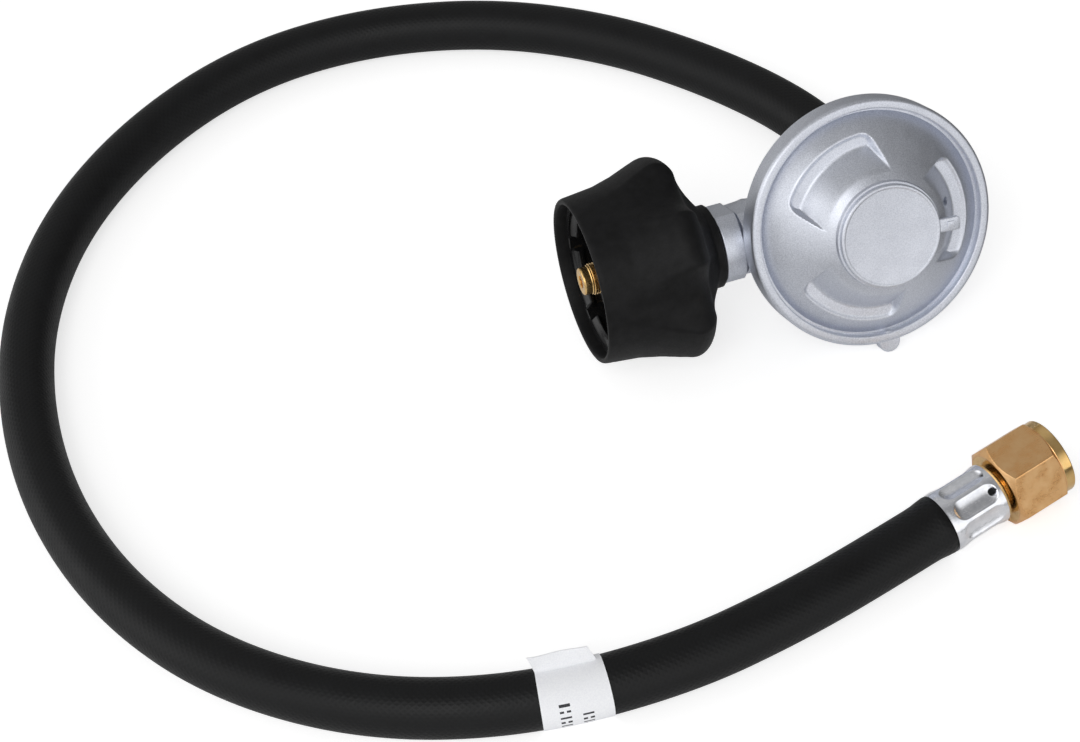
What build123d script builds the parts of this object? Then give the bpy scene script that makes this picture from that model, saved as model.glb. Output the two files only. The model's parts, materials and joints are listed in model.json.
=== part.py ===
from build123d import *
import math
import os

# Low-pressure propane regulator with a hand nut inlet, a rubber hose and a flare swivel nut.
# Millimetres. World frame: +Z up, the part lies on the plane Z = 0, the hand nut mouth looks to -X.

# ---- driving dimensions ----
HOSE_OD = 14.0            # 5/16 in gas hose
HOSE_ID = 8.0
DISC_R = 31.35            # regulator casing, outside radius
LIP_R = 28.9              # inner radius of the lip rolled over the cover
CAP_R = 12.9              # closure cap on the spring tower
CAP_TOP = 12.2            # cap face above the lip
INLET_DEPTH = 16.5        # inlet axis behind the lip face
MOUTH_X = -71.2           # plane of the hand nut mouth
MOUTH_R = 21.0
GRIP_R = 26.2             # hand nut radius over a lobe
GRIP_LOBES = 5
GRIP_TURN = 10.0          # degrees the lobes are turned from straight down
OUTLET_X = 16.0           # outlet axis, off the casing centre on the side away from the inlet
SWIVEL_AF = 19.05         # 3/4 in hexagon
SWIVEL_BORE_R = 7.35      # 5/8-18 flare thread, at its crests
RUNNING = 0.06            # radial clearance of a running fit
LEAN = 63.0               # degrees the casing is tipped up from lying flat
TIP = 2.5                 # degrees the hand nut mouth is raised
CASING_AT = (20.5, -12.2, 31.9)   # centre of the lip face, in the world frame

# ---- casing heights, measured along the casing axis from the lip face ----
SEAT_Z = -5.0             # ledge that carries the diaphragm rim
DIAPHRAGM_T = 1.0
FLANGE_TOP = -2.0         # top of the cover flange, under the lip
BOWL_FLOOR = -24.3
BOWL_BACK = -26.5
BOSS_END = -29.0          # outlet boss face
POCKET_FLOOR = 1.6
LUG_R = 2.8               # rounded lug on the rim, the regulator's foot when it lies down
LUG_T = 3.0
TOWER_TOP = 10.9
TAB_ANGLE = -4.0          # pull tab, from the side away from the inlet
VENT_ANGLE = 9.0          # breather hole beside the tab
PIVOT_X = -14.0           # lever pivot
PIVOT_Z = -20.0

# ---- stations along the inlet axis ----
NUT_BACK = -36.4
NECK_FACE = -36.2
COLLAR_END = -31.0        # the neck collar, round with two wrench flats
COLLAR_R = 10.2
COLLAR_AF = 17.2
SECOND_R = 9.4            # the smaller collar between the first and the bowl
SECOND_AF = 15.8
SHOULDER_X = -52.0        # nipple shoulder that holds the bushing on
BUSH_TRAVEL = 3.0         # free play of the nut and bushing along the nipple
BUSH_R = 9.5
BUSH_FLANGE_R = 12.0

# ---- far end ----
FERRULE_LEN = 15.0
SWIVEL_LEN = 17.0
THREAD_START = 9.8        # inner end of the flare thread; behind it is a relief
FERRULE_R = 7.5
CRIMPS = 8
CRIMP_TURN = 31.0         # first crimp, which holds the sight hole, from straight up
SWIVEL_TURN = 33.0        # one corner of the nut, from straight up

# Hose route on the table, from the outlet to the flare fitting: corner points, each a little outside the curve.
AXIS_HEIGHT = HOSE_OD / 2
BENDS = [
    (29.9, 58.6),
    (14.4, 85.1),
    (-7.6, 111.1),
    (-36.6, 131.6),
    (-72.1, 142.6),
    (-107.1, 141.1),
    (-140.1, 125.1),
    (-166.6, 100.1),
    (-183.6, 68.1),
    (-190.6, 33.6),
    (-189.6, -0.9),
    (-180.1, -33.9),
    (-162.1, -62.4),
    (-134.6, -84.9),
    (-101.6, -97.4),
    (-65.6, -100.4),
    (-35.6, -96.4),
    (-6.6, -89.4),
]
HOSE_END = (19.3, -83.9, 9.6)
LABEL_CENTRE = (-90.7, -98.1)     # middle of the paper label, over the hose
LABEL_HEADING = -7.0
LABEL_LEN = 18.0

REGULATOR = Pos(*CASING_AT) * Rot(0, TIP, 0) * Rot(LEAN, 0, 0)
INLET = Pos(0, 0, -INLET_DEPTH)


def turned_z(*profile):
    """Solid turned about Z from (radius, z) corners."""
    return revolve(Plane.XZ * make_face(Polyline(*profile, close=True)), Axis.Z)


def turned_x(*profile):
    """Solid turned about X from (x, radius) corners."""
    return revolve(make_face(Polyline(*profile, close=True)), Axis.X)


def rod_x(start, end, radius):
    return Pos((start + end) / 2, 0, 0) * Rot(0, 90, 0) * Cylinder(radius, end - start)


def rod_y(start, end, radius):
    return Pos(0, (start + end) / 2, 0) * Rot(90, 0, 0) * Cylinder(radius, end - start)


def rod_z(start, end, radius):
    return Pos(0, 0, (start + end) / 2) * Cylinder(radius, end - start)


def flatted_x(start, end, radius, across_flats):
    """Round bar along X with a wrench flat facing +Y and one facing -Y."""
    return rod_x(start, end, radius) & Pos((start + end) / 2, 0, 0) * Box(end - start, across_flats, 3 * radius)


def hex_x(start, end, across_flats, turn=0.0):
    """Hexagonal bar along X, with a corner facing +Z when turn is 0."""
    section = RegularPolygon(across_flats / 2, 6, major_radius=False)
    bar = extrude(section, end - start)
    return Pos(start, 0, 0) * Rot(turn, 0, 0) * Rot(0, 90, 0) * bar


def coil_z(bottom, top, radius, wire, turns):
    """Compression spring about Z between two heights."""
    height = top - bottom - 2 * wire
    path = Helix(height / turns, height, radius)
    section = Plane(origin=path @ 0, z_dir=path % 0) * Circle(wire)
    return Pos(0, 0, bottom + wire) * sweep(section, path, is_frenet=True)


# ---- regulator casing ----

def cover_skin(radius):
    """Height of the cover's outer cone at a radius, between the lip groove and the spring tower."""
    along = (28.2 - radius) / (28.2 - 13.6)
    return -2.0 + 11.8 * along + 3.0 * along * (1 - along)


def regulator_body():
    """Die-cast bowl with the rolled lip, inlet neck, outlet boss, lever pedestals and rim lug."""
    hollow = [(24, SEAT_Z), (24, -9.5), (21.2, -20.5), (17.5, BOWL_FLOOR), (0, BOWL_FLOOR)]
    bowl = turned_z(
        (0, BOWL_BACK), (18.5, BOWL_BACK), (23.2, -21.5), (27, -9), (DISC_R, -7), (DISC_R, -0.6),
        (DISC_R - 0.6, 0), (LIP_R, 0), (LIP_R, FLANGE_TOP), (30.1, FLANGE_TOP), (30.1, SEAT_Z), *hollow,
    )
    neck = rod_x(-30, -19, 8.6) + flatted_x(NECK_FACE, COLLAR_END, COLLAR_R, COLLAR_AF)
    neck += rod_x(COLLAR_END - 0.5, COLLAR_END + 1, 7.7)
    neck += flatted_x(COLLAR_END + 0.6, -26.5, SECOND_R, SECOND_AF)
    chamber = turned_z((0, SEAT_Z), *hollow)
    neck = INLET * neck
    inside = neck & chamber
    body = bowl + (neck - chamber) + (inside & Pos(-22, 0, -INLET_DEPTH) * Box(7, 40, 40))
    body += Pos(OUTLET_X, 0, 0) * rod_z(BOSS_END, BOWL_FLOOR, 9.5)
    for side in (-1, 1):
        post = Pos(PIVOT_X, side * 5.0, (BOWL_FLOOR + PIVOT_Z + 2.2) / 2)
        body += post * Box(4.4, 2.4, PIVOT_Z + 2.2 - BOWL_FLOOR + 0.4)
    lug = Pos(0, -DISC_R, -LUG_T / 2 - 0.3) * Cylinder(LUG_R, LUG_T)
    body += lug - rod_z(-6, 1, 30.6)
    body -= INLET * rod_x(-40, -28, 6.0)
    body -= INLET * rod_x(-29, -23, 5.0)
    body -= INLET * rod_x(-24, -15, 4.4)
    body -= Pos(OUTLET_X, 0, 0) * rod_z(-32, -20, 5.0)
    body -= Pos(PIVOT_X, 0, PIVOT_Z) * rod_y(-8, 8, 1.0)
    return body


def bonnet_cover():
    """Die-cast cover: flange under the lip, cone with three sunk pockets, spring tower."""
    steps = [28.2 - 14.6 * i / 5 for i in range(1, 5)]
    cone = [(r, cover_skin(r)) for r in steps]
    shell = turned_z(
        (30.05, SEAT_Z + DIAPHRAGM_T), (30.05, FLANGE_TOP), (28.2, FLANGE_TOP), *cone,
        (13.6, 9.8), (13.4, TOWER_TOP), (9.0, TOWER_TOP), (9.0, 2.6), (12.0, 2.6), (24.2, SEAT_Z + DIAPHRAGM_T),
    )
    wedge = make_face(Polyline(
        (20.3, POCKET_FLOOR), (23.6, POCKET_FLOOR), (25.4, 4.0), (25.4, 12), (14.1, 12), (14.1, 10.0), close=True))
    wedge = revolve(Plane.XZ * wedge, Axis.Z, 74)
    for middle in (0, 120, 240):
        shell -= Rot(0, 0, middle - 37) * wedge
    vent = Rot(0, 0, VENT_ANGLE) * Pos(17.4, 0, 5.4) * Rot(0, 52, 0) * Cylinder(1.1, 16)
    return shell - vent


def closure_cap():
    """Pressed cap that closes the spring tower, with a small pull tab."""
    disc = turned_z(
        (0, TOWER_TOP), (CAP_R - 0.2, TOWER_TOP), (CAP_R, TOWER_TOP + 0.3), (CAP_R, CAP_TOP - 0.4),
        (CAP_R - 0.4, CAP_TOP), (0, CAP_TOP),
    )
    skirt = rod_z(TOWER_TOP - 1.5, TOWER_TOP, 8.9) - rod_z(TOWER_TOP - 1.6, TOWER_TOP - 0.01, 7.6)
    tab = Rot(0, 0, TAB_ANGLE) * Pos(CAP_R + 2.2, 0, CAP_TOP - 0.65) * Box(5.4, 3.4, 1.0)
    return disc + skirt + tab


def adjuster_screw():
    """Plug screwed down the tower to load the main spring."""
    plug = rod_z(5.6, 9.0, 9.0)
    plug -= rod_z(5.0, 7.2, 6.8)
    return plug - Pos(0, 0, 8.6) * Box(9, 2, 2)


def main_spring():
    return coil_z(SEAT_Z + DIAPHRAGM_T + 0.8, 7.2, 5.6, 0.65, 4.5)


def diaphragm():
    """Rubber diaphragm: clamped rim, rolled convolution and flat centre with the stem hole."""
    top = SEAT_Z + DIAPHRAGM_T
    sheet = rod_z(SEAT_Z, top, 30.0) - rod_z(SEAT_Z - 1, 0, 2.5)
    roll = turned_z((19.0, SEAT_Z), (19.6, -6.6), (22.0, -6.6), (22.6, SEAT_Z))
    return sheet + roll


def diaphragm_plate():
    """Dished backing plate that spreads the spring load."""
    top = SEAT_Z + DIAPHRAGM_T
    plate = turned_z((2.5, top), (17.0, top), (17.4, -3.2), (16.8, -3.2), (16.4, top + 0.8), (2.5, top + 0.8))
    return plate


def diaphragm_stem():
    """Stem through the diaphragm, headed above the plate and slotted for the lever below it."""
    head = rod_z(SEAT_Z + DIAPHRAGM_T + 0.8, -2.3, 4.4)
    shank = rod_z(-15.2, SEAT_Z + DIAPHRAGM_T + 0.8, 2.5)
    slot = Pos(0, 0, -12.0) * Box(6, 2.6, 2.4)
    return head + shank - slot


def stem_retainer():
    """Washer and spring clip under the diaphragm."""
    return rod_z(-6.0, SEAT_Z, 7.0) - rod_z(-7, 0, 2.5)


def lever():
    """Bent lever: hub on the pin, short arm up to the valve plunger, long arm to the stem slot."""
    hub = Pos(PIVOT_X, 0, PIVOT_Z) * rod_y(-3.6, 3.6, 1.75)
    rise = Pos(PIVOT_X + 1.4, 0, -15.6) * Box(1.6, 5.0, 8.2)
    arm = Pos(PIVOT_X / 2 + 1.3, 0, -12.0) * Box(abs(PIVOT_X) + 1.4, 2.0, 1.2)
    foot = Pos(PIVOT_X + 1.2, 0, PIVOT_Z + 0.6) * Box(1.6, 5.0, 1.6)
    part = hub + rise + foot + arm
    return part - Pos(PIVOT_X, 0, PIVOT_Z) * rod_y(-8, 8, 1.0 + RUNNING)


def lever_pin():
    return Pos(PIVOT_X, 0, PIVOT_Z) * rod_y(-6.2, 6.2, 1.0)


def valve_plunger():
    """Plunger in the inlet neck; its cup holds the seat disc that faces the orifice."""
    shaft = rod_x(-19.6, -13.7, 1.5) + rod_x(-21.6, -18.6, 4.4 - RUNNING)
    return INLET * (shaft - rod_x(-22, -20.6, 3.0))


def seat_disc():
    return INLET * (rod_x(-22.1, -20.6, 3.0))


def inlet_orifice():
    """Brass jet pressed into the neck behind the nipple."""
    jet = turned_x((-28, 0), (-28, 5.0), (-24, 5.0), (-24, 2.2), (-22.55, 1.5), (-22.55, 0))
    return INLET * (jet - rod_x(-29, -22, 0.8))


# ---- inlet nipple and hand nut ----

def inlet_nipple():
    """Brass nipple: rounded nose, ridged barrel, shoulder, shank and the threaded end in the neck."""
    ridges = []
    for i in range(6):
        x = -68.6 + 0.9 * i
        ridges += [(x, 3.75), (x + 0.45, 4.0)]
    blank = turned_x(
        (MOUTH_X, 0), (MOUTH_X, 2.4), (MOUTH_X + 0.6, 3.2), (MOUTH_X + 1.6, 3.4), (-69.2, 3.3), (-69.0, 3.75),
        *ridges, (-63.0, 4.0), (-62.0, 4.75), (SHOULDER_X, 4.75), (SHOULDER_X, 7.4), (SHOULDER_X + 2.4, 7.4),
        (SHOULDER_X + 2.4, 5.5), (NECK_FACE, 5.5), (NECK_FACE, 6.0), (-28.0, 6.0), (-28.0, 0),
    )
    blank -= rod_x(MOUTH_X - 1, -66, 1.3)
    blank -= rod_x(-67, -27, 2.6)
    blank -= rod_x(-60.0, -44.0, 3.2)
    return INLET * blank


def excess_flow_poppet():
    """Bullet that snaps shut against the bore when the flow is too high."""
    return INLET * turned_x((-59.6, 0), (-59.6, 1.2), (-57.5, 2.9), (-54.0, 2.9), (-54.0, 1.4), (-51.5, 1.4), (-51.5, 0))


def poppet_spring():
    spring = coil_z(0, 6.0, 2.2, 0.25, 5)
    return INLET * Pos(-54.0, 0, 0) * Rot(0, 90, 0) * spring


def poppet_stop():
    """Ring pressed in the bore behind the poppet spring."""
    return INLET * (rod_x(-48.0, -46.5, 3.2) - rod_x(-49, -46, 1.5))


def inlet_filter():
    return INLET * rod_x(-40.0, -37.5, 2.6)


def thermal_bushing():
    """Heat-sensitive bushing between the nipple shank and the hand nut."""
    front = SHOULDER_X + 2.4 + BUSH_TRAVEL
    sleeve = rod_x(front, NUT_BACK, BUSH_R) + rod_x(front, front + 2.6, BUSH_FLANGE_R)
    return INLET * (sleeve - rod_x(front - 1, NUT_BACK + 1, 5.5 + RUNNING))


def hand_nut():
    """Moulded hand nut: plain band at the mouth, five lobes, lead-in cone and coupling bore."""
    band_end = MOUTH_X + 9.0
    outside = turned_x(
        (MOUTH_X, 0), (MOUTH_X, MOUTH_R - 0.4), (MOUTH_X + 0.4, MOUTH_R), (band_end, MOUTH_R + 1.0),
        (-50.0, GRIP_R - 1.2), (-45.0, GRIP_R), (-42.0, GRIP_R), (-39.6, GRIP_R - 1.2), (-38.2, GRIP_R - 4.0),
        (-38.0, 17.0), (NUT_BACK, 12.5), (NUT_BACK, 0),
    )
    scoop_r = 12.0
    scoop = Rot(0, 90, 0) * Cylinder(scoop_r, 60)
    scoop = Pos(-45.0, 0, 21.2 + scoop_r) * Rot(0, 6.5, 0) * scoop
    for i in range(GRIP_LOBES):
        outside -= Rot(GRIP_TURN + (i + 0.5) * 360 / GRIP_LOBES + 180, 0, 0) * scoop
    inside = turned_x(
        (MOUTH_X - 1, 0), (MOUTH_X - 1, 19.5), (MOUTH_X + 0.2, 19.5), (MOUTH_X + 4.0, 16.9),
        (-47.2, 16.9), (-47.2, 14.0), (-43.9, 14.0), (-43.9, BUSH_R + RUNNING), (-30, BUSH_R + RUNNING), (-30, 0),
    )
    return INLET * (outside - inside)


# ---- outlet, hose and far end ----

def outlet_stem():
    """Brass barbed stem screwed into the outlet boss and pushed into the hose."""
    stem = turned_z(
        (0, BOWL_FLOOR + 0.3), (5.0, BOWL_FLOOR + 0.3), (5.0, BOSS_END), (4.0, BOSS_END - 0.5), (4.0, -31), (4.15, -31.4),
        (4.0, -33.4), (4.15, -33.8), (4.0, -35.8), (3.6, -38.5), (0, -38.5),
    )
    return Pos(OUTLET_X, 0, 0) * (stem - rod_z(-40, -20, 2.6))


def outlet_ferrule():
    """Crimped sleeve over the hose at the regulator."""
    sleeve = rod_z(BOSS_END - 12.0, BOSS_END, FERRULE_R) - rod_z(BOSS_END - 13.0, BOSS_END - 0.5, HOSE_OD / 2)
    return Pos(OUTLET_X, 0, 0) * (sleeve - rod_z(-32, -20, 5.0))


def hose_route():
    """Straight runs and tangent arcs; each arc is as large as its two runs allow."""
    start = (REGULATOR * Pos(OUTLET_X, 0, BOSS_END - 0.5)).position
    along = (REGULATOR * Pos(OUTLET_X, 0, BOSS_END - 1.5)).position - start
    touch = start + along * ((start.Z - AXIS_HEIGHT) / -along.Z)
    points = [start, touch] + [Vector(x, y, AXIS_HEIGHT) for x, y in BENDS] + [Vector(*HOSE_END)]
    runs = [(b - a) for a, b in zip(points, points[1:])]
    radii = []
    for before, after in zip(runs, runs[1:]):
        half_turn = math.radians(before.get_angle(after)) / 2
        radii.append(0.45 * min(before.length, after.length) / math.tan(half_turn))
    return points, runs, radii


def hose():
    points, runs, radii = hose_route()
    path = FilletPolyline(*points, radius=radii)
    section = Plane(origin=points[0], z_dir=runs[0]) * (Circle(HOSE_OD / 2) - Circle(HOSE_ID / 2))
    tube = sweep(section, path)
    expected = math.pi * (HOSE_OD ** 2 - HOSE_ID ** 2) / 4 * path.length
    print("hose length", round(path.length, 1), "volume / expected", round(tube.volume / expected, 4))
    print("hose runs", [round(r.length, 1) for r in runs])
    print("hose radii", [round(r, 1) for r in radii])
    return tube


def far_end():
    """Frame at the hose's far end, +X out of the hose."""
    points, runs, _ = hose_route()
    return Plane(origin=points[-1], x_dir=runs[-1], z_dir=Vector(0, 0, 1).cross(runs[-1]).cross(runs[-1]) * -1)


def end_stem():
    """Brass stem: barbs in the hose, collar that holds the swivel nut, 45 degree flare seat."""
    stem = turned_x(
        (-13.0, 0), (-13.0, 3.6), (-10.6, 4.0), (-8.8, 4.15), (-8.6, 4.0), (-6.8, 4.15), (-6.6, 4.0), (0, 4.0),
        (0.4, 4.9), (5.0, 4.9), (5.4, 6.6), (6.6, 6.6), (9.6, 3.4), (9.6, 0),
    )
    return stem - rod_x(-14, 12, 2.4)


def end_ferrule():
    """Aluminium sleeve with a ring of lengthwise crimps and a sight hole near its outer end."""
    sleeve = rod_x(-FERRULE_LEN, 0.5, FERRULE_R) - rod_x(-FERRULE_LEN - 1, 0, HOSE_OD / 2)
    sleeve -= rod_x(-1, 1, 5.0)
    dent = rod_x(-11.2, -4.4, 2.8) + Pos(-11.2, 0, 0) * Sphere(2.8) + Pos(-4.4, 0, 0) * Sphere(2.8)
    for i in range(CRIMPS):
        sleeve -= Rot(CRIMP_TURN + i * 360 / CRIMPS, 0, 0) * Pos(0, 0, FERRULE_R + 2.6) * dent
    return sleeve - Rot(CRIMP_TURN, 0, 0) * Pos(-2.2, 0, 6) * Cylinder(0.7, 5)


def swivel_nut():
    """Hexagonal flare nut, free to turn behind the stem's collar."""
    body = hex_x(1.0, SWIVEL_LEN - 3.0, SWIVEL_AF, SWIVEL_TURN) & turned_x(
        (1.0, 0), (1.0, 9.3), (2.2, 11.4), (SWIVEL_LEN - 4.2, 11.4), (SWIVEL_LEN - 3.0, 9.3), (SWIVEL_LEN - 3.0, 0))
    body += rod_x(1.5, SWIVEL_LEN, 8.9)
    body -= rod_x(0, 6.0, 4.9 + RUNNING)
    body -= rod_x(4.7, THREAD_START, SWIVEL_BORE_R + 0.55)
    return body - rod_x(4.7, SWIVEL_LEN + 1, SWIVEL_BORE_R)


def paper_label():
    """Paper band round the hose, open where the hose meets the table, its ends pressed together in a flap."""
    band = rod_x(-LABEL_LEN / 2, LABEL_LEN / 2, HOSE_OD / 2 + 0.25) - rod_x(-20, 20, HOSE_OD / 2)
    flap = Rot(-25, 0, 0) * Pos(0, 0, HOSE_OD / 2 + 1.6) * Box(LABEL_LEN, 0.4, 3.0)
    above_table = Pos(0, 0, 10.3 - AXIS_HEIGHT) * Box(40, 40, 20)
    return Pos(*LABEL_CENTRE, AXIS_HEIGHT) * Rot(0, 0, LABEL_HEADING) * ((band + flap) & above_table)


def build():
    """Every sub-part in the world frame, by node name."""
    at_casing = [
        regulator_body, bonnet_cover, closure_cap, adjuster_screw, main_spring, diaphragm, diaphragm_plate,
        diaphragm_stem, stem_retainer, lever, lever_pin, valve_plunger, seat_disc, inlet_orifice,
        inlet_nipple, excess_flow_poppet, poppet_spring, poppet_stop, inlet_filter, thermal_bushing, hand_nut,
        outlet_stem, outlet_ferrule,
    ]
    nodes = {make.__name__: REGULATOR * make() for make in at_casing}
    end_at = far_end().location
    nodes.update({make.__name__: end_at * make() for make in (end_stem, end_ferrule, swivel_nut)})
    nodes["hose"] = hose()
    nodes["paper_label"] = paper_label()
    return nodes


def main():
    os.makedirs("parts", exist_ok=True)
    for name, solid in build().items():
        solid.label = name
        export_step(solid, f"parts/{name}.step")


main()
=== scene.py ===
import json
import math

import bmesh
import bpy
import numpy as np
from mathutils import Matrix, Vector


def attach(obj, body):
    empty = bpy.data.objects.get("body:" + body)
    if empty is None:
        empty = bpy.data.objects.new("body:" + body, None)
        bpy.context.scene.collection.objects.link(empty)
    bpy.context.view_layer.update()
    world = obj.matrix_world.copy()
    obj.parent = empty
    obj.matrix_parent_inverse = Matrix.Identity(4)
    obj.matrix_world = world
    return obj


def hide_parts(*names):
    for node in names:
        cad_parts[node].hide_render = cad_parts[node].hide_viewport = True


# Looks of a low-pressure propane regulator with a hand nut inlet, a rubber hose and a flare swivel nut.
# Profiles are in millimetres in the frame of their own axis; objects are in metres in the CAD frame.

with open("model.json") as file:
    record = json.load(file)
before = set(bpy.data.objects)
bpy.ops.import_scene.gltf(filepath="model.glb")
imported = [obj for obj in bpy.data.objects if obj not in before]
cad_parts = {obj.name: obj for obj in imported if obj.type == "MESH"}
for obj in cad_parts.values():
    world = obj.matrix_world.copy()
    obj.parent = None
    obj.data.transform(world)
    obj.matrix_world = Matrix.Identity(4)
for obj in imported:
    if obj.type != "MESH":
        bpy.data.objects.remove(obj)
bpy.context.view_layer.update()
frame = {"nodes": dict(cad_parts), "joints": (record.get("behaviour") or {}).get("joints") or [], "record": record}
MM = 0.001


# ---- placements, from the joints ----

joints = {joint["name"]: joint for joint in frame["joints"]}


def placement(x_axis, z_axis, origin):
    """Rigid placement with these world directions for its X and Z."""
    x_axis, z_axis = Vector(x_axis).normalized(), Vector(z_axis).normalized()
    rotation = Matrix((x_axis, z_axis.cross(x_axis), z_axis)).transposed()
    return Matrix.Translation(origin) @ rotation.to_4x4()


HAND_NUT_PIVOT = -42.0      # where the spin joint sits on the inlet axis
INLET_DEPTH = 16.5          # inlet axis behind the lip face
SWIVEL_PIVOT = 8.0          # where the swivel joint sits, from the end of the hose
OUTLET_X = 16.0
BOSS_END = -29.0

lift = Vector(joints["diaphragm_lift"]["axis"])
inward = -Vector(joints["hand_nut_slide"]["axis"])
inlet_at = Vector(joints["hand_nut_spin"]["pos_m"]) - HAND_NUT_PIVOT * MM * inward
INLET = placement(inward, lift, inlet_at)
CASING = placement(inward, lift, inlet_at + INLET_DEPTH * MM * lift)
OUTLET = placement(lift, inward, CASING @ Vector((OUTLET_X * MM, 0, BOSS_END * MM)))
swivel = Vector(joints["swivel_nut_spin"]["axis"])
across = Vector((0, 0, 1)).cross(swivel).normalized()
FAR_END = placement(swivel, swivel.cross(across),
                    Vector(joints["swivel_nut_spin"]["pos_m"]) - SWIVEL_PIVOT * MM * swivel)


# ---- numbers and outlines ----

def smooth_min(a, b, k):
    """Lower of two surfaces, with the edge between them rounded over about k."""
    share = np.clip(0.5 + 0.5 * (b - a) / k, 0, 1)
    return b + (a - b) * share - k * share * (1 - share)


def smooth_max(a, b, k):
    return -smooth_min(-a, -b, k)


def step(low, high, value):
    """0 below low, 1 above high, and a smooth ramp between."""
    t = np.clip((value - low) / (high - low), 0, 1)
    return t * t * (3 - 2 * t)


def from_angle(angles, centre):
    """Signed difference of angles in degrees, from -180 to 180."""
    return (angles - centre + 180) % 360 - 180


def outline(*corners, arc_step=12.0):
    """Closed outline of (along, radius) points; a corner's third number is its fillet."""
    points = []
    for i, corner in enumerate(corners):
        here = np.array(corner[:2], float)
        fillet = corner[2] if len(corner) > 2 else 0
        if not fillet:
            points.append(tuple(here))
            continue
        back = np.array(corners[i - 1][:2], float) - here
        ahead = np.array(corners[(i + 1) % len(corners)][:2], float) - here
        back, ahead = back / np.linalg.norm(back), ahead / np.linalg.norm(ahead)
        half = math.acos(float(np.clip(back @ ahead, -1, 1))) / 2
        bisector = (back + ahead) / np.linalg.norm(back + ahead)
        centre = here + bisector * fillet / math.sin(half)
        first = here + back * fillet / math.tan(half) - centre
        last = here + ahead * fillet / math.tan(half) - centre
        start = math.atan2(first[1], first[0])
        turn = (math.atan2(last[1], last[0]) - start + math.pi) % (2 * math.pi) - math.pi
        count = max(2, math.ceil(abs(math.degrees(turn)) / arc_step))
        for j in range(count + 1):
            angle = start + turn * j / count
            points.append((centre[0] + fillet * math.cos(angle), centre[1] + fillet * math.sin(angle)))
    return points


def thread(along, angles, pitch, crest, root, flank):
    """Radius of an inside thread: narrow crests, sloped flanks, wider roots."""
    phase = (along / pitch - angles / 360) % 1
    height = step(0.5 - flank, 0.5 - flank / 3, phase) - step(0.5 + flank / 3, 0.5 + flank, phase)
    return root - (root - crest) * height


# ---- meshes ----

def solid(name, vertices, faces, place, groups=None, crease=32):
    """Closed mesh object from millimetre vertices; groups gives each face's material number."""
    mesh = bpy.data.meshes.new(name)
    mesh.from_pydata((np.asarray(vertices, float) * MM).tolist(), [], faces)
    mesh.transform(place)
    if groups is not None:
        mesh.polygons.foreach_set("material_index", groups)
    tidy = bmesh.new()
    tidy.from_mesh(mesh)
    bmesh.ops.remove_doubles(tidy, verts=tidy.verts, dist=1e-7)
    bmesh.ops.recalc_face_normals(tidy, faces=tidy.faces)
    tidy.to_mesh(mesh)
    tidy.free()
    finish_mesh(mesh, crease)
    made = bpy.data.objects.new(name, mesh)
    bpy.context.scene.collection.objects.link(made)
    return made


def finish_mesh(mesh, crease=32):
    """Smooth shading, with edges sharper than crease degrees kept sharp."""
    mesh.shade_smooth()
    mesh.set_sharp_from_angle(angle=math.radians(crease))


def turned(rows, axis="x", angles=192):
    """Vertices, faces and the row of each face, for rows of (along, radius) turned about an axis.

    The rows close on themselves. An along or a radius may be an array, one value for each angle.
    About X, angle 0 faces +Z and 90 faces -Y; about Z, angle 0 faces +X and 90 faces +Y.
    """
    if np.isscalar(angles):
        angles = np.arange(angles) * 360 / angles
    count, turn = len(angles), np.radians(angles)
    along = np.array([np.broadcast_to(row[0], count) for row in rows])
    radius = np.array([np.broadcast_to(row[1], count) for row in rows])
    if axis == "x":
        vertices = np.stack([along, -radius * np.sin(turn), radius * np.cos(turn)], axis=-1)
    else:
        vertices = np.stack([radius * np.cos(turn), radius * np.sin(turn), along], axis=-1)
    faces, row_of = [], []
    for i in range(len(rows)):
        after = (i + 1) % len(rows)
        if radius[i].max() < 1e-6 and radius[after].max() < 1e-6:
            continue
        for j in range(count):
            k = (j + 1) % count
            faces.append((i * count + j, i * count + k, after * count + k, after * count + j))
            row_of.append(i)
    return vertices.reshape(-1, 3), faces, row_of


def turned_solid(name, rows, place, axis="x", angles=192, groups=None, crease=32):
    vertices, faces, row_of = turned(rows, axis, angles)
    numbers = None if groups is None else [groups(row) for row in row_of]
    return solid(name, vertices, faces, place, numbers, crease)


def stacked(name, rings, place, crease=32):
    """Closed solid through rings of (x, y, z) points, capped at both ends."""
    rings = np.asarray(rings, float)
    levels, count = rings.shape[:2]
    faces = [tuple(range(count)), tuple(range((levels - 1) * count, levels * count))]
    for i in range(levels - 1):
        for j in range(count):
            k = (j + 1) % count
            faces.append((i * count + j, i * count + k, (i + 1) * count + k, (i + 1) * count + j))
    return solid(name, rings.reshape(-1, 3), faces, place, crease=crease)


def rounded_slab(name, width, depth, corner, low, high, edge, place):
    """Rounded rectangle in XY from low to high, with the top edge eased."""
    rings = []
    for level, inset in ((low, 0), (high - edge, 0), (high - 0.3 * edge, 0.3 * edge), (high, edge)):
        radius = max(corner - inset, 0.05)
        ring = []
        for quarter, (sx, sy) in enumerate(((1, 1), (-1, 1), (-1, -1), (1, -1))):
            for j in range(7):
                angle = math.radians(90 * quarter + 15 * j)
                ring.append((sx * (width / 2 - inset - radius) + radius * math.cos(angle),
                             sy * (depth / 2 - inset - radius) + radius * math.sin(angle), level))
        rings.append(ring)
    return stacked(name, rings, place)


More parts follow.
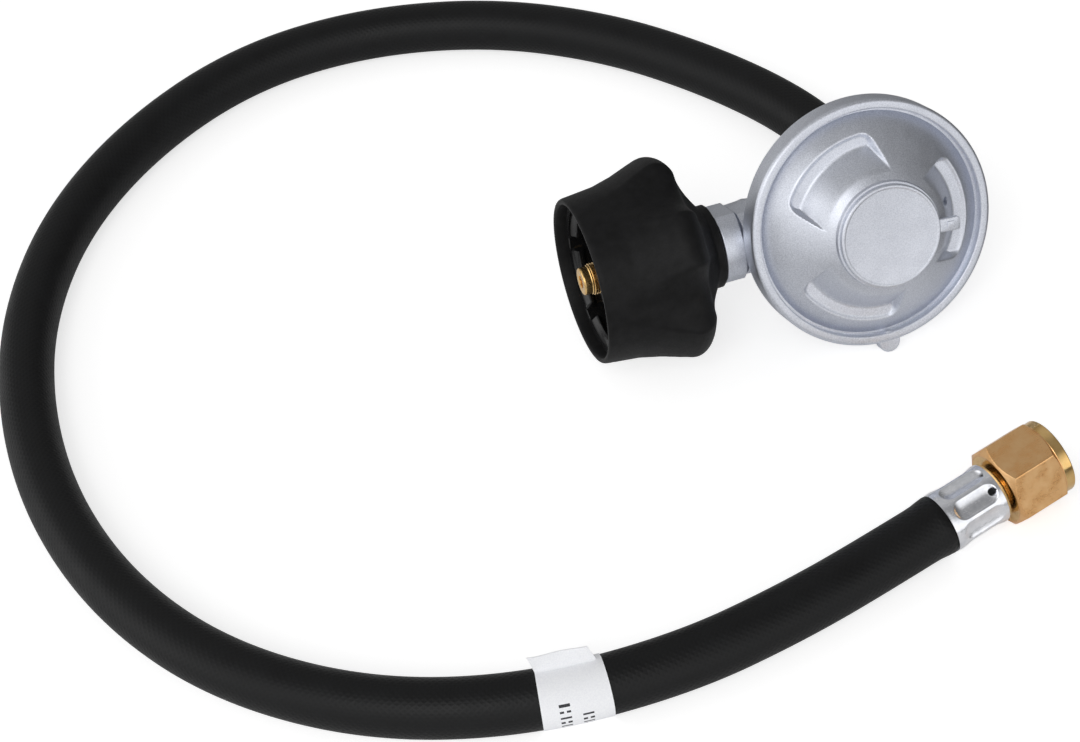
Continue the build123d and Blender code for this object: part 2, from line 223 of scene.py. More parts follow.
def combined(target, tools, operation="UNION", crease=32):
    """Boolean of target with each tool; the tools are used up."""
    for tool in tools:
        modifier = target.modifiers.new("combine", "BOOLEAN")
        modifier.operation = operation
        modifier.solver = "EXACT"
        modifier.object = tool
        bpy.context.view_layer.update()
        mesh = bpy.data.meshes.new_from_object(target.evaluated_get(bpy.context.evaluated_depsgraph_get()))
        target.modifiers.clear()
        target.data = mesh
        bpy.data.objects.remove(tool)
    tidy = bmesh.new()
    tidy.from_mesh(target.data)
    bmesh.ops.remove_doubles(tidy, verts=tidy.verts, dist=4e-6)
    bmesh.ops.dissolve_degenerate(tidy, edges=tidy.edges, dist=2e-6)
    bmesh.ops.holes_fill(tidy, edges=[edge for edge in tidy.edges if edge.is_boundary], sides=0)
    tidy.to_mesh(target.data)
    tidy.free()
    finish_mesh(target.data, crease)
    return target


# ---- materials ----

def srgb(red, green, blue):
    """Linear colour of an 8-bit screen colour."""
    def linear(value):
        value /= 255
        return value / 12.92 if value <= 0.04045 else ((value + 0.055) / 1.055) ** 2.4
    return (linear(red), linear(green), linear(blue), 1.0)


class Finish:
    """A Principled material whose colour, roughness and bump come from noise at real scale."""

    def __init__(self, name, **constants):
        self.material = bpy.data.materials.new(name)
        self.material.use_nodes = True
        self.tree = self.material.node_tree
        self.shader = self.tree.nodes["Principled BSDF"]
        for socket, value in constants.items():
            self.shader.inputs[socket.replace("_", " ")].default_value = value
        self.place = self.node("ShaderNodeTexCoord").outputs["Object"]
        self.height = None

    def node(self, kind, **inputs):
        made = self.tree.nodes.new(kind)
        for name, value in inputs.items():
            self.feed(made.inputs[name.replace("_", " ")], value)
        return made

    def feed(self, socket, value):
        if isinstance(value, bpy.types.NodeSocket):
            self.tree.links.new(value, socket)
        else:
            socket.default_value = value

    def math(self, operation, first, second=0.0):
        made = self.tree.nodes.new("ShaderNodeMath")
        made.operation = operation
        self.feed(made.inputs[0], first)
        self.feed(made.inputs[1], second)
        return made.outputs[0]

    def stretched(self, x, y, z, place):
        """Coordinates along a placement's axes, scaled apart, so that noise runs along the smallest."""
        turned_back = self.node("ShaderNodeMapping", Vector=self.place)
        turned_back.inputs["Rotation"].default_value = place.inverted().to_euler()
        made = self.node("ShaderNodeMapping", Vector=turned_back.outputs["Vector"])
        made.inputs["Scale"].default_value = (x, y, z)
        return made.outputs["Vector"]

    def noise(self, size_mm, detail=2.0, vector=None):
        """Noise from 0 to 1 whose spots are about that size."""
        made = self.node("ShaderNodeTexNoise", Vector=vector or self.place, Detail=detail, Roughness=0.55)
        made.inputs["Scale"].default_value = 1 / (size_mm * MM)
        return made.outputs["Fac"]

    def spread(self, value, low, high, start=0.3, stop=0.7):
        """value from start..stop mapped to low..high."""
        made = self.node("ShaderNodeMapRange", Value=value)
        for name, number in (("From Min", start), ("From Max", stop), ("To Min", low), ("To Max", high)):
            made.inputs[name].default_value = number
        return made.outputs["Result"]

    def colours(self, factor, first, second):
        made = self.tree.nodes.new("ShaderNodeMix")
        made.data_type = "RGBA"
        self.feed(made.inputs["Factor"], factor)
        for name, value in (("A", first), ("B", second)):
            socket = [s for s in made.inputs if s.name == name and s.type == "RGBA"][0]
            self.feed(socket, value)
        return [s for s in made.outputs if s.type == "RGBA"][0]

    def base(self, colour):
        self.feed(self.shader.inputs["Base Color"], colour)

    def rough(self, value):
        self.feed(self.shader.inputs["Roughness"], value)

    def bump(self, height, depth_mm, strength=1.0):
        """Adds a height to the surface, on top of any added before."""
        made = self.node("ShaderNodeBump", Height=height)
        made.inputs["Strength"].default_value = strength
        made.inputs["Distance"].default_value = depth_mm * MM
        if self.height is not None:
            self.tree.links.new(self.height, made.inputs["Normal"])
        self.height = made.outputs["Normal"]
        self.feed(self.shader.inputs["Normal"], self.height)


def cast_zinc():
    """Bead-blasted die casting: satin, fine bright grain, a little cloudy."""
    finish = Finish("cast_zinc", Metallic=1.0)
    grain = finish.noise(0.28, 3)
    cloud = finish.noise(4.5, 3)
    finish.base(finish.colours(finish.spread(grain, 0, 1), srgb(196, 200, 210), srgb(232, 235, 243)))
    finish.rough(finish.math("ADD", finish.spread(grain, 0.40, 0.52), finish.spread(cloud, -0.04, 0.05)))
    finish.bump(grain, 0.030, 0.55)
    finish.bump(finish.noise(1.1, 2), 0.03, 0.25)
    return finish.material


def moulded_plastic(name, dark, light, rough_low, rough_high, depth_mm, specular):
    finish = Finish(name, Specular_IOR_Level=specular)
    mottle = finish.noise(2.6, 5)
    grain = finish.noise(0.35, 3)
    finish.base(finish.colours(finish.spread(mottle, 0, 1, 0.35, 0.68), dark, light))
    finish.rough(finish.spread(grain, rough_low, rough_high))
    finish.bump(grain, depth_mm, 0.5)
    finish.bump(mottle, depth_mm * 2, 0.3)
    return finish.material


def turned_brass(name, place, rough_low, rough_high):
    """Turned brass: warm, with tool marks round the axis of that placement."""
    finish = Finish(name, Metallic=1.0)
    marks = finish.noise(0.12, 2, finish.stretched(1, 0.03, 0.03, place))
    stain = finish.noise(2.8, 4)
    finish.base(finish.colours(finish.spread(stain, 0, 1), srgb(226, 182, 112), srgb(240, 204, 142)))
    finish.rough(finish.spread(stain, rough_low, rough_high))
    finish.bump(marks, 0.006, 0.5)
    return finish.material


def milled_brass():
    """Drawn hexagon bar: lengthwise grain, slightly duller than the turned ends."""
    finish = Finish("milled_brass", Metallic=1.0)
    grain = finish.noise(0.16, 3, finish.stretched(0.12, 1, 1, FAR_END))
    stain = finish.noise(3.2, 5)
    finish.base(finish.colours(finish.spread(stain, 0, 1), srgb(228, 172, 112), srgb(240, 196, 142)))
    finish.rough(finish.math("ADD", finish.spread(stain, 0.24, 0.36), finish.spread(grain, -0.04, 0.05)))
    finish.bump(grain, 0.008, 0.5)
    finish.bump(finish.noise(1.6, 2), 0.02, 0.2)
    return finish.material


def crimped_aluminium():
    finish = Finish("crimped_aluminium", Metallic=1.0)
    drawn = finish.noise(0.14, 3, finish.stretched(0.1, 1, 1, FAR_END))
    cloud = finish.noise(1.8, 4)
    finish.base(finish.colours(finish.spread(cloud, 0, 1), srgb(222, 224, 230), srgb(243, 244, 248)))
    finish.rough(finish.math("ADD", finish.spread(drawn, 0.16, 0.27), finish.spread(cloud, -0.03, 0.04)))
    finish.bump(drawn, 0.006, 0.5)
    finish.bump(finish.noise(0.9, 2), 0.03, 0.3)
    return finish.material


def plain_metal(name, dark, light, rough_low, rough_high, size_mm):
    finish = Finish(name, Metallic=1.0)
    grain = finish.noise(size_mm, 4)
    finish.base(finish.colours(finish.spread(grain, 0, 1), dark, light))
    finish.rough(finish.spread(finish.noise(size_mm * 4, 3), rough_low, rough_high))
    finish.bump(grain, size_mm * 0.06, 0.4)
    return finish.material


HOSE_BRAID = 26             # yarns each way round the hose


def hose_rubber():
    """Smooth rubber cover with the braid below it just showing through."""
    finish = Finish("hose_rubber", Specular_IOR_Level=0.26)
    around = finish.node("ShaderNodeUVMap")
    around.uv_map = "Around"
    parts = finish.node("ShaderNodeSeparateXYZ", Vector=around.outputs["UV"])
    turn = finish.math("MULTIPLY", parts.outputs["X"], HOSE_BRAID * 2 * math.pi)
    run = finish.math("MULTIPLY", parts.outputs["Y"], HOSE_BRAID * 2 * math.pi)
    right = finish.math("SINE", finish.math("ADD", turn, run))
    left = finish.math("SINE", finish.math("SUBTRACT", turn, run))
    braid = finish.math("ADD", finish.math("MULTIPLY", finish.math("MAXIMUM", right, left), 0.5), 0.5)
    mottle = finish.noise(7.0, 4)
    grain = finish.noise(0.3, 3)
    finish.base(finish.colours(finish.spread(mottle, 0, 1), srgb(9, 9, 10), srgb(15, 16, 17)))
    worn = finish.spread(braid, 0.03, -0.03, 0, 1)
    finish.rough(finish.math("ADD", finish.spread(mottle, 0.46, 0.56), worn))
    finish.bump(braid, 0.07, 0.6)
    finish.bump(grain, 0.015, 0.4)
    return finish.material


def soft_rubber():
    finish = Finish("seal_rubber", Specular_IOR_Level=0.4)
    grain = finish.noise(0.5, 3)
    finish.base(finish.colours(finish.spread(grain, 0, 1), srgb(30, 30, 31), srgb(46, 46, 47)))
    finish.rough(finish.spread(grain, 0.6, 0.78))
    finish.bump(grain, 0.02, 0.4)
    return finish.material


def paper():
    finish = Finish("paper", Specular_IOR_Level=0.3)
    fibre = finish.noise(0.35, 5)
    finish.base(finish.colours(finish.spread(fibre, 0, 1), srgb(240, 241, 245), srgb(250, 251, 253)))
    finish.rough(finish.spread(fibre, 0.7, 0.86))
    finish.bump(fibre, 0.02, 0.4)
    return finish.material


def print_ink():
    finish = Finish("print_ink", Specular_IOR_Level=0.3)
    fibre = finish.noise(0.3, 4)
    finish.base(finish.colours(finish.spread(fibre, 0, 1), srgb(38, 38, 42), srgb(70, 70, 74)))
    finish.rough(finish.spread(fibre, 0.6, 0.8))
    finish.bump(fibre, 0.01, 0.4)
    return finish.material


ZINC = cast_zinc()
NUT_SKIN = moulded_plastic("nut_skin", srgb(10, 10, 11), srgb(20, 20, 21), 0.48, 0.62, 0.03, 0.2)
NUT_INSIDE = moulded_plastic("nut_inside", srgb(14, 14, 15), srgb(22, 22, 23), 0.16, 0.28, 0.008, 0.45)
BUSHING = moulded_plastic("bushing_plastic", srgb(20, 20, 21), srgb(30, 30, 31), 0.30, 0.42, 0.015, 0.35)
TURNED_BRASS = turned_brass("turned_brass", INLET, 0.20, 0.34)
COLLAR_BRASS = turned_brass("collar_brass", FAR_END, 0.10, 0.18)
MILLED_BRASS = milled_brass()
CRIMPED = crimped_aluminium()
HOSE = hose_rubber()
PAPER = paper()
INK = print_ink()
SLOT_FINISH = {
    "cast_zinc": ZINC,
    "black_plastic": NUT_SKIN,
    "bushing_plastic": BUSHING,
    "brass": TURNED_BRASS,
    "spring_steel": plain_metal("spring_steel", srgb(176, 176, 178), srgb(206, 206, 208), 0.22, 0.36, 0.4),
    "pressed_steel": plain_metal("pressed_steel", srgb(190, 190, 184), srgb(220, 219, 212), 0.28, 0.44, 0.8),
    "machined_aluminium": plain_metal(
        "machined_aluminium", srgb(206, 207, 210), srgb(228, 229, 232), 0.25, 0.38, 0.5),
    "crimped_aluminium": CRIMPED,
    "hose_rubber": HOSE,
    "seal_rubber": soft_rubber(),
    "paper": PAPER,
    "sintered_bronze": plain_metal(
        "sintered_bronze", srgb(120, 84, 44), srgb(190, 142, 86), 0.45, 0.65, 0.15),
}


def dress(piece, body, slot, *materials):
    """Puts the piece on its body with its finish."""
    for material in materials:
        piece.data.materials.append(material)
    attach(piece, body)
    return piece


# ---- hose ----

HOSE_R = 7.0
FERRULE_LEN = 15.0
OUTLET_FERRULE_LEN = 12.0
ROUTE = [
    (0.0359, 0.0141, 0.0178),
    (0.0354, 0.0353, 0.0070),
    (0.0299, 0.0586, 0.0070),
    (0.0144, 0.0851, 0.0070),
    (-0.0076, 0.1111, 0.0070),
    (-0.0366, 0.1316, 0.0070),
    (-0.0721, 0.1426, 0.0070),
    (-0.1071, 0.1411, 0.0070),
    (-0.1401, 0.1251, 0.0070),
    (-0.1666, 0.1001, 0.0070),
    (-0.1836, 0.0681, 0.0070),
    (-0.1906, 0.0336, 0.0070),
    (-0.1896, -0.0009, 0.0070),
    (-0.1801, -0.0339, 0.0070),
    (-0.1621, -0.0624, 0.0070),
    (-0.1346, -0.0849, 0.0070),
    (-0.1016, -0.0974, 0.0070),
    (-0.0656, -0.1004, 0.0070),
    (-0.0356, -0.0964, 0.0070),
    (-0.0066, -0.0894, 0.0070),
    (0.0193, -0.0839, 0.0096),
]


def spline_line(points, per_point=24):
    """Points along the smooth line of one open NURBS spline, in metres."""
    curve = bpy.data.curves.new("route", "CURVE")
    curve.dimensions = "3D"
    curve.resolution_u = per_point
    spline = curve.splines.new("NURBS")
    spline.points.add(len(points) - 1)
    for control, point in zip(spline.points, points):
        control.co = (*point, 1.0)
    spline.order_u = 3
    spline.use_endpoint_u = True
    holder = bpy.data.objects.new("route", curve)
    mesh = bpy.data.meshes.new_from_object(holder)
    line = np.array([vertex.co for vertex in mesh.vertices])
    bpy.data.objects.remove(holder)
    return line


def frames_along(line):
    """Distance, tangent, up and side at each point, turned as little as possible."""
    reach = np.concatenate([[0], np.cumsum(np.linalg.norm(np.diff(line, axis=0), axis=1))])
    tangents = np.gradient(line, reach, axis=0)
    tangents /= np.linalg.norm(tangents, axis=1)[:, None]
    ups = []
    up = np.array([0.0, 0.0, 1.0])
    for tangent in tangents:
        up = up - tangent * (up @ tangent)
        up = up / np.linalg.norm(up)
        ups.append(up)
    return reach, tangents, np.array(ups), np.cross(np.array(ups), tangents)


def hose_radius(reach, total):
    """Full size between the sleeves, a bulge where a sleeve grips it, and squeezed inside."""
    before = (reach - OUTLET_FERRULE_LEN * MM) / MM
    after = (total - FERRULE_LEN * MM - reach) / MM
    free = np.minimum(before, after)
    bulge = 0.42 * np.exp(-(((free - 1.0) / 2.2) ** 2))
    return (5.9 + (HOSE_R - 5.9) * step(-1.6, 0.2, free)) + bulge * step(-0.4, 0.6, free)


def make_hose(line):
    around = 72
    reach, _, ups, sides = frames_along(line)
    radii = hose_radius(reach, reach[-1]) * MM
    turn = np.arange(around) * 2 * math.pi / around
    rings = (line[:, None] + radii[:, None, None] * (
        np.cos(turn)[None, :, None] * ups[:, None] + np.sin(turn)[None, :, None] * sides[:, None]))
    rings[:, :, 2] = np.maximum(rings[:, :, 2], 0.0)
    mesh = bpy.data.meshes.new("hose_tube")
    faces, uvs = [], []
    span = 2 * math.pi * HOSE_R * MM
    for i in range(len(line) - 1):
        for j in range(around):
            k = (j + 1) % around
            faces.append((i * around + j, i * around + k, (i + 1) * around + k, (i + 1) * around + j))
            low, high = reach[i] / span, reach[i + 1] / span
            uvs += [(j / around, low), ((j + 1) / around, low), ((j + 1) / around, high), (j / around, high)]
    last = (len(line) - 1) * around
    faces += [tuple(range(around)), tuple(range(last, last + around))]
    uvs += [(0.0, 0.0)] * (2 * around)
    mesh.from_pydata(rings.reshape(-1, 3).tolist(), [], faces)
    mesh.uv_layers.new(name="Around").data.foreach_set("uv", np.array(uvs).ravel())
    tidy = bmesh.new()
    tidy.from_mesh(mesh)
    bmesh.ops.recalc_face_normals(tidy, faces=tidy.faces)
    tidy.to_mesh(mesh)
    tidy.free()
    finish_mesh(mesh, 50)
    made = bpy.data.objects.new("hose_tube", mesh)
    bpy.context.scene.collection.objects.link(made)
    return made


hose_line = spline_line(ROUTE)
hose = dress(make_hose(hose_line), "regulator", "hose_rubber", HOSE)
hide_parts("hose")


# ---- regulator casing ----

DISC_R = 31.35
COVER_EDGE = 28.2
TOWER_R = 13.4
TOWER_TOP = 10.9
POCKET_FLOOR = 1.6
BORE_ANGLES = np.arange(71) * 360 / 71 + 1.3     # never in line with the facets that a bore cuts
POCKET_OUT = 23.6           # outer radius of a pocket
POCKET_HALF = 33.5          # degrees from its middle to its side
POCKET_CORNER = 2.2
VENT_ANGLE, VENT_OUT = 9.0, 17.4
TAB_TURN = -4.0


def cover_height(radius, angles):
    """Cone of the cover with three pockets sunk into it, and the breather hole."""
    along = (COVER_EDGE - radius) / 14.6
    cone = -2 + 11.8 * along + 3.0 * along * (1 - along)
    inner = POCKET_FLOOR + 1.52 * (20.4 - radius)
    lowest = np.full_like(angles, 1e3)
    for middle in (0, 120, 240):
        side = np.radians(np.abs(from_angle(angles, middle)) - POCKET_HALF) * radius
        sideways = np.maximum(side + POCKET_CORNER, 0)
        outwards = max(radius - POCKET_OUT + POCKET_CORNER, 0)
        beyond = sideways ** 2 + outwards ** 2 + 1e-9
        steepness = 1.3 + 1.3 * sideways ** 2 / beyond
        walls = POCKET_FLOOR + steepness * (np.hypot(sideways, outwards) - POCKET_CORNER)
        floor = smooth_max(np.full_like(angles, inner), np.full_like(angles, POCKET_FLOOR), 1.0)
        lowest = np.minimum(lowest, smooth_max(floor, walls, 0.8))
    height = smooth_min(np.full_like(angles, cone), lowest, 0.7)
    from_vent = np.radians(from_angle(angles, VENT_ANGLE))
    off_centre = np.hypot(radius * np.cos(from_vent) - VENT_OUT, 1.15 * radius * np.sin(from_vent))
    near = np.abs(from_vent) < 0.5
    return height - 3.0 * near * (1 - step(0.8, 1.15, off_centre))


def make_cover():
    angles = np.arange(480) * 0.75
    skin_r = np.arange(COVER_EDGE - 0.1, TOWER_R + 0.1, -0.22)
    skin = [(cover_height(radius, angles), radius) for radius in skin_r]
    rim = outline((TOWER_TOP, 9.0), (2.6, 9.0), (2.6, 12.0), (-4.0, 24.2), (-4.0, 30.05), (-2.0, 30.05))
    rows = [(-2.0, COVER_EDGE)] + skin + [(10.2, TOWER_R), (TOWER_TOP - 0.2, TOWER_R),
                                         (TOWER_TOP - 0.06, TOWER_R - 0.06), (TOWER_TOP, TOWER_R - 0.2)] + rim
    return turned_solid("cover_casting", rows, CASING, "z", angles)


def make_casing():
    """Bowl with the rolled lip, the neck with its flatted collars, the outlet boss and the rim lug."""
    bowl = turned_solid("regulator_casting", outline(
        (-26.5, 0), (-26.5, 18.5, 2.5), (-21.5, 23.2, 4), (-9, 27, 1.2), (-7, DISC_R, 1.2), (0, DISC_R, 1.0),
        (0, 28.9, 0.4), (-2, 28.9), (-2, 30.1), (-5, 30.1), (-5, 0)), CASING, "z", 288)
    angles = np.arange(240) * 1.5
    neck_rows = [(x, neck_radius(x, r, angles)) for x, r in outline(
        (-36.2, 0), (-36.2, 10.2, 0.35), (-31.0, 10.2, 0.35), (-31.0, 7.7, 0.3), (-30.3, 7.7, 0.3),
        (-30.3, 9.4, 0.35), (-26.2, 9.4, 0.6), (-24.0, 9.0, 2.0), (-18.0, 12.0), (-18.0, 0))]
    neck = turned_solid("neck", neck_rows, INLET, "x", angles)
    boss = turned_solid("boss", outline(
        (BOSS_END, 0), (BOSS_END, 9.5, 0.7), (-25.5, 9.6, 1.5), (-17.0, 11.6), (-17.0, 0)),
        CASING @ Matrix.Translation((OUTLET_X * MM, 0, 0)), "z", 144)
    lug = turned_solid("lug", outline((-3.3, 0), (-3.3, 2.8, 0.3), (-0.3, 2.8, 0.4), (-0.3, 0)),
                       CASING @ Matrix.Translation((0, -DISC_R * MM, 0)), "z", 72)
    combined(bowl, [neck, boss, lug])
    hollow = turned_solid("hollow", outline(
        (-4.0, 0), (-4.0, 24.0), (-9.5, 24.0, 1), (-20.5, 21.2, 2), (-24.3, 17.5, 1), (-24.3, 0)),
        CASING, "z", 180)
    inlet_bore = turned_solid("inlet_bore", outline(
        (-40, 0), (-40, 6.02), (-27.98, 6.02), (-27.98, 5.02), (-24, 5.02), (-24, 4.42), (-15, 4.42),
        (-15, 0)),
        INLET, "x", BORE_ANGLES)
    outlet_bore = turned_solid("outlet_bore", outline((-32, 0), (-32, 5.02), (-20, 5.02), (-20, 0)),
                               CASING @ Matrix.Translation((OUTLET_X * MM, 0, 0)), "z", BORE_ANGLES)
    return combined(bowl, [hollow, inlet_bore, outlet_bore], "DIFFERENCE")


def neck_radius(along, radius, angles):
    """Round collars with two wrench flats, up and down, and a narrow bevel beside each flat."""
    if along > -26.4 or radius < 7.8:
        return np.full_like(angles, radius)
    first = along < -30.9
    flat, bevel = (8.6, 10.0) if first else (7.9, 9.2)
    off_flat = np.radians(np.abs(from_angle(2 * angles, 180)) / 2)
    shape = np.minimum(flat / np.cos(off_flat), bevel / np.cos(off_flat - math.radians(38)))
    return smooth_min(np.full_like(angles, radius), shape, 0.08)


def make_cap():
    """Round cap with an eased edge, and its pull tab with a small raised mark."""
    disc = turned_solid("cap_disc", outline(
        (TOWER_TOP, 0), (TOWER_TOP, 12.9, 0.2), (12.2, 12.9, 0.45), (12.2, 12.2, 0.3), (12.08, 11.9, 0.3),
        (12.08, 0)), CASING, "z", 240)
    turned_tab = CASING @ Matrix.Rotation(math.radians(TAB_TURN), 4, "Z")
    tab_place = turned_tab @ Matrix.Translation((14.9 * MM, 0, 0))
    mark_place = turned_tab @ Matrix.Translation((15.5 * MM, 0, 0))
    tab = rounded_slab("tab", 6.2, 3.4, 0.8, 11.0, 12.05, 0.3, tab_place)
    mark = rounded_slab("mark", 1.9, 1.7, 0.3, 11.9, 12.28, 0.12, mark_place)
    skirt_top = TOWER_TOP + 0.2
    skirt = turned_solid("skirt", outline((9.4, 7.6), (9.4, 8.9), (skirt_top, 8.9), (skirt_top, 7.6)),
                         CASING, "z", 96)
    return combined(disc, [tab, mark, skirt])


casing = dress(make_casing(), "regulator", "cast_zinc", ZINC)
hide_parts("regulator_body")
cover = dress(make_cover(), "regulator", "cast_zinc", ZINC)
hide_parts("bonnet_cover")
cap = dress(make_cap(), "regulator", "cast_zinc", ZINC)
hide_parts("closure_cap")


# ---- hand nut and nipple ----

MOUTH_X = -71.2
NUT_BACK = -36.4
GRIP_TURN = 10.0            # degrees the lobes are turned from straight down
LOBES = 5
SCOOP_R = 12.0              # round scoops between the lobes
SCOOP_OUT = 33.2            # their axis, at SCOOP_AT, and its slope
SCOOP_AT = -49.0
SCOOP_SLOPE = 6.5
LOBE_BACK = -43.6           # where the lobes turn in towards the hub
HUB_R = 10.6
REAR_FILLET = 5.2
ACME_PITCH = 5.08


def grip_radius(along, envelope, angles):
    """Plain at the mouth; five scoops deepen towards the back and leave soft lobes between."""
    centre = SCOOP_OUT - (along - SCOOP_AT) * math.tan(math.radians(SCOOP_SLOPE))
    radius = np.full_like(angles, envelope)
    for i in range(LOBES):
        off = np.radians(from_angle(angles, GRIP_TURN + (i + 0.5) * 360 / LOBES + 180))
        sideways = centre * np.abs(np.sin(off))
        dip = np.sqrt(np.clip(SCOOP_R ** 2 - sideways ** 2, 0, None))
        scoop = centre * np.cos(off) - dip + 3 * np.clip(sideways - SCOOP_R, 0, None)
        scoop = np.where(np.abs(off) < 1.2, scoop, 1e3)
        radius = smooth_min(radius, scoop, 3.2)
    return radius


def make_hand_nut():
    angles = np.arange(288) * 1.25
    rows = [(MOUTH_X + 0.12, 20.72), (MOUTH_X + 0.45, 20.95)]
    corner = LOBE_BACK - REAR_FILLET
    for along in np.linspace(MOUTH_X + 1.0, corner, 42):
        envelope = np.interp(
            along, (MOUTH_X, -62.2, -57, -53, -50, -47.5), (21.0, 21.9, 23.2, 24.6, 25.6, 26.0))
        rows.append((along, grip_radius(along, envelope, angles)))
    at_corner = rows[-1][1]
    for turn in np.radians(np.linspace(8, 72, 12)):
        rows.append((corner + REAR_FILLET * math.sin(turn), at_corner - REAR_FILLET * (1 - math.cos(turn))))
    back, base = rows[-1]
    for share in np.linspace(0.1, 1.0, 9):
        rise = -38.9 - back
        rows.append((back + rise * share ** 1.6, base + (HUB_R + 0.5 - base) * share))
    rows += [(-38.6, HUB_R + 0.15), (-38.2, HUB_R), (NUT_BACK - 0.3, HUB_R), (NUT_BACK, HUB_R - 0.3)]
    outer_rows = len(rows)
    rows += [(NUT_BACK, 9.8), (NUT_BACK - 0.2, 9.56), (-43.9, 9.56), (-43.9, 14.0), (-47.2, 14.0),
             (-47.2, 17.6)]
    slots = np.zeros_like(angles)
    for i in range(6):
        slots = np.maximum(slots, 1 - step(5.0, 6.6, np.abs(from_angle(angles, 14 + 60 * i))))
    for along in np.arange(-47.4, -67.9, -0.28):
        cut = thread(along, angles, ACME_PITCH, 16.9, 18.2, 0.36)
        ends = step(-67.9, -66.3, along)
        rows.append((along, (cut * ends + 18.3 * (1 - ends)) * (1 - slots) + 18.7 * slots))
    rows += [(-68.0, 18.9), (-68.2, 19.35), (MOUTH_X + 0.6, 19.5), (MOUTH_X + 0.2, 19.7), (MOUTH_X, 20.0),
             (MOUTH_X, 20.5)]
    lip_rows = len(rows) - 5
    return turned_solid("hand_nut_grip", rows, INLET, "x", angles,
                        groups=lambda row: 1 if outer_rows <= row < lip_rows else 0, crease=40)


def make_nipple():
    """Brass nipple with a bright rounded nose, fine ridges, a shoulder and the shank in the neck."""
    ridges = []
    for i in range(9):
        start = -68.7 + 0.62 * i
        ridges += [(start, 3.72), (start + 0.16, 3.98), (start + 0.34, 3.98), (start + 0.5, 3.72)]
    rows = outline(
        (MOUTH_X + 0.1, 1.55), (MOUTH_X + 0.02, 1.7), (MOUTH_X + 0.02, 3.5, 0.5), (-69.2, 3.5), (-69.0, 3.72),
        *ridges, (-63.0, 3.72), (-62.6, 4.0), (-62.0, 4.75, 0.2), (-52.0, 4.75), (-52.0, 7.4, 0.3),
        (-49.6, 7.4, 0.3), (-49.6, 5.5), (-36.2, 5.5), (-36.2, 6.0), (-28.0, 6.0), (-28.0, 2.6), (-44.0, 2.6),
        (-44.0, 3.2), (-60.0, 3.2), (-60.0, 2.6), (-66.0, 2.6), (-66.5, 1.5), (MOUTH_X + 0.4, 1.5))
    return turned_solid("nipple_turning", rows, INLET, "x", 120)


nut = dress(make_hand_nut(), "hand_nut", "black_plastic", NUT_SKIN, NUT_INSIDE)
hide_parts("hand_nut")
nipple = dress(make_nipple(), "regulator", "brass", TURNED_BRASS)
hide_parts("inlet_nipple")


# ---- crimped sleeves ----

CRIMPS = 8
SLEEVE_R = 7.5
CRIMP_DEPTH = 0.95
CRIMP_HALF_WIDTH = 2.55
CRIMP_TURN = 31.0
SIGHT_AT = -2.6             # where the sight hole shows the hose inside
SIGHT_FLOOR = 5.75


def make_sleeve(name, length, first_crimp, place, sight_hole):
    """Sleeve from -length to 0.5, with lengthwise crimps; the first may hold the sight hole."""
    angles = np.arange(400) * 0.9
    low, high = -length + 1.7, -1.5
    middle, half = (low + high) / 2, (high - low) / 2
    rows = [(-length + 0.05, 7.25), (-length, 7.38)]
    for along in np.arange(-length + 0.12, -0.62, 0.14):
        body = SLEEVE_R - 0.14 * math.exp(-((along + length) / 0.7) ** 2)
        radius = np.full_like(angles, body)
        for i in range(CRIMPS):
            off = from_angle(angles, first_crimp + i * 360 / CRIMPS)
            sideways = np.radians(np.abs(off)) * SLEEVE_R
            past = max(abs(along - middle) - (half - CRIMP_HALF_WIDTH), 0)
            off_middle = np.clip(np.hypot(sideways, past) / CRIMP_HALF_WIDTH, 0, 1)
            radius = radius - CRIMP_DEPTH * (1 - off_middle ** 2) * (1 - step(0.8, 1.0, off_middle) * 0.3)
        if sight_hole:
            off = np.radians(from_angle(angles, first_crimp)) * 6.8
            hole = 1 - step(0.80, 0.94, np.hypot(off, along - SIGHT_AT))
            radius = radius * (1 - hole) + SIGHT_FLOOR * hole
        rows.append((along, radius))
    rows += [(-0.5, 7.42), (-0.2, 7.28), (0.1, 7.02), (0.34, 6.66), (0.46, 6.3), (0.5, 5.9), (0.5, 5.0),
             (0.0, 5.0), (0.0, 5.4), (-0.8, 5.5), (-length + 1.5, 5.5), (-length + 0.4, 6.9)]
    vertices, faces, row_of = turned(rows, "x", angles)
    numbers = None
    if sight_hole:
        centres = vertices[np.array(faces)].mean(axis=1)
        depth = np.hypot(centres[:, 1], centres[:, 2])
        outside = (np.array(row_of) > 6) & (np.array(row_of) < len(rows) - 14)
        numbers = ((depth < 6.3) & outside).astype(int).tolist()
    return solid(name, vertices, faces, place, numbers, 50)


sleeve = dress(make_sleeve("end_sleeve", FERRULE_LEN, CRIMP_TURN, FAR_END, True), "regulator",
               "crimped_aluminium", CRIMPED, HOSE)
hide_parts("end_ferrule")
outlet_place = OUTLET @ Matrix.Rotation(math.radians(20), 4, "X")
outlet_sleeve = dress(make_sleeve("outlet_sleeve", OUTLET_FERRULE_LEN, 0.0, outlet_place, False), "regulator",
                      "crimped_aluminium", CRIMPED)
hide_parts("outlet_ferrule")


# ---- swivel nut ----

SWIVEL_AF = 19.05
SWIVEL_TURN = 33.0


def hexagon(angles):
    """Radius of the hexagon, its corners just broken."""
    off = np.radians(from_angle(6 * (angles - SWIVEL_TURN - 30), 0) / 6)
    sharp = SWIVEL_AF / 2 / np.cos(off)
    return sharp - 0.05 * step(0.965, 1.0, np.abs(off) / (math.pi / 6))


